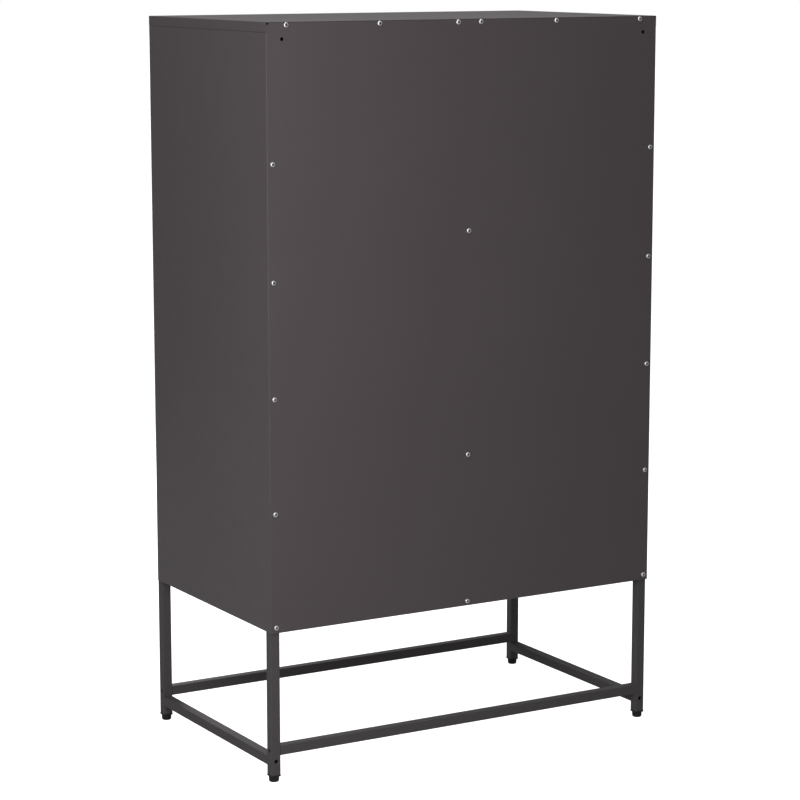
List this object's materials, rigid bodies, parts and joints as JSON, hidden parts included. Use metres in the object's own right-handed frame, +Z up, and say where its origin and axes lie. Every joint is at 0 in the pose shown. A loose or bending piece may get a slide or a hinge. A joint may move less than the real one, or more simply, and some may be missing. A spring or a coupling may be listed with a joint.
{
  "type": "chest of drawers",
  "caption": "Tall steel chest of drawers with folded panels, inset drawers on side runners and an open square-tube leg frame on levelling feet.",
  "frame": {"origin": "on the floor under the middle of the chest's bounding box, handles and screw heads included", "axes": "+Z up, drawers face and open towards -Y, screwed back panel faces +Y, +X to the right of someone facing the drawers"},
  "size_m": [0.68, 0.415, 1.123],
  "materials": {
    "powder_coat": "fine matt powder coat",
    "drawer_coat": "fine matt powder coat",
    "frame_coat": "fine matt powder coat",
    "zinc_steel": "zinc plated",
    "black_steel": "black oxide",
    "black_plastic": "moulded"
  },
  "bodies": {
    "cabinet": {"top_cover": "powder_coat", "left_side_panel": "powder_coat", "right_side_panel": "powder_coat", "back_panel": "powder_coat", "bottom_panel": "powder_coat", "rear_centre_post": "powder_coat", "front_left_post": "powder_coat", "front_right_post": "powder_coat", "rear_left_post": "powder_coat", "rear_right_post": "powder_coat", "crossbar_1": "powder_coat", "crossbar_2": "powder_coat", "crossbar_3": "powder_coat", "crossbar_4": "powder_coat", "cabinet_runners_1": "zinc_steel", "cabinet_runners_2": "zinc_steel", "cabinet_runners_3": "zinc_steel", "cabinet_runners_4": "zinc_steel", "cabinet_runners_5": "zinc_steel", "front_left_leg": "frame_coat", "rear_left_leg": "frame_coat", "front_right_leg": "frame_coat", "rear_right_leg": "frame_coat", "front_rail": "frame_coat", "rear_rail": "frame_coat", "left_rail": "frame_coat", "right_rail": "frame_coat", "foot_inserts": "black_plastic", "panel_screws": "zinc_steel", "runner_screws": "zinc_steel", "frame_bolts": "black_steel"},
    "drawer_1": {"drawer_box_1": "drawer_coat", "drawer_front_1": "drawer_coat", "handle_1": "drawer_coat", "drawer_runners_1": "zinc_steel", "handle_screws_1": "zinc_steel"},
    "drawer_2": {"drawer_box_2": "drawer_coat", "drawer_front_2": "drawer_coat", "handle_2": "drawer_coat", "drawer_runners_2": "zinc_steel", "handle_screws_2": "zinc_steel"},
    "drawer_3": {"drawer_box_3": "drawer_coat", "drawer_front_3": "drawer_coat", "handle_3": "drawer_coat", "drawer_runners_3": "zinc_steel", "handle_screws_3": "zinc_steel"},
    "drawer_4": {"drawer_box_4": "drawer_coat", "drawer_front_4": "drawer_coat", "handle_4": "drawer_coat", "drawer_runners_4": "zinc_steel", "handle_screws_4": "zinc_steel"},
    "drawer_5": {"drawer_box_5": "drawer_coat", "drawer_front_5": "drawer_coat", "handle_5": "drawer_coat", "drawer_runners_5": "zinc_steel", "handle_screws_5": "zinc_steel"},
    "front_left_foot": {"front_left_foot": "black_plastic"},
    "rear_left_foot": {"rear_left_foot": "black_plastic"},
    "front_right_foot": {"front_right_foot": "black_plastic"},
    "rear_right_foot": {"rear_right_foot": "black_plastic"}
  },
  "joints": [
    {"name": "drawer_1_slide", "type": "slide", "parent": "cabinet", "child": "drawer_1", "axis": [0, -1, 0], "range_m": [0, 0.26]},
    {"name": "drawer_2_slide", "type": "slide", "parent": "cabinet", "child": "drawer_2", "axis": [0, -1, 0], "range_m": [0, 0.26]},
    {"name": "drawer_3_slide", "type": "slide", "parent": "cabinet", "child": "drawer_3", "axis": [0, -1, 0], "range_m": [0, 0.26]},
    {"name": "drawer_4_slide", "type": "slide", "parent": "cabinet", "child": "drawer_4", "axis": [0, -1, 0], "range_m": [0, 0.26]},
    {"name": "drawer_5_slide", "type": "slide", "parent": "cabinet", "child": "drawer_5", "axis": [0, -1, 0], "range_m": [0, 0.26]},
    {"name": "front_left_foot_thread", "type": "slide", "parent": "cabinet", "child": "front_left_foot", "axis": [0, 0, -1], "range_m": [0, 0.006]},
    {"name": "rear_left_foot_thread", "type": "slide", "parent": "cabinet", "child": "rear_left_foot", "axis": [0, 0, -1], "range_m": [0, 0.006]},
    {"name": "front_right_foot_thread", "type": "slide", "parent": "cabinet", "child": "front_right_foot", "axis": [0, 0, -1], "range_m": [0, 0.006]},
    {"name": "rear_right_foot_thread", "type": "slide", "parent": "cabinet", "child": "rear_right_foot", "axis": [0, 0, -1], "range_m": [0, 0.006]}
  ]
}
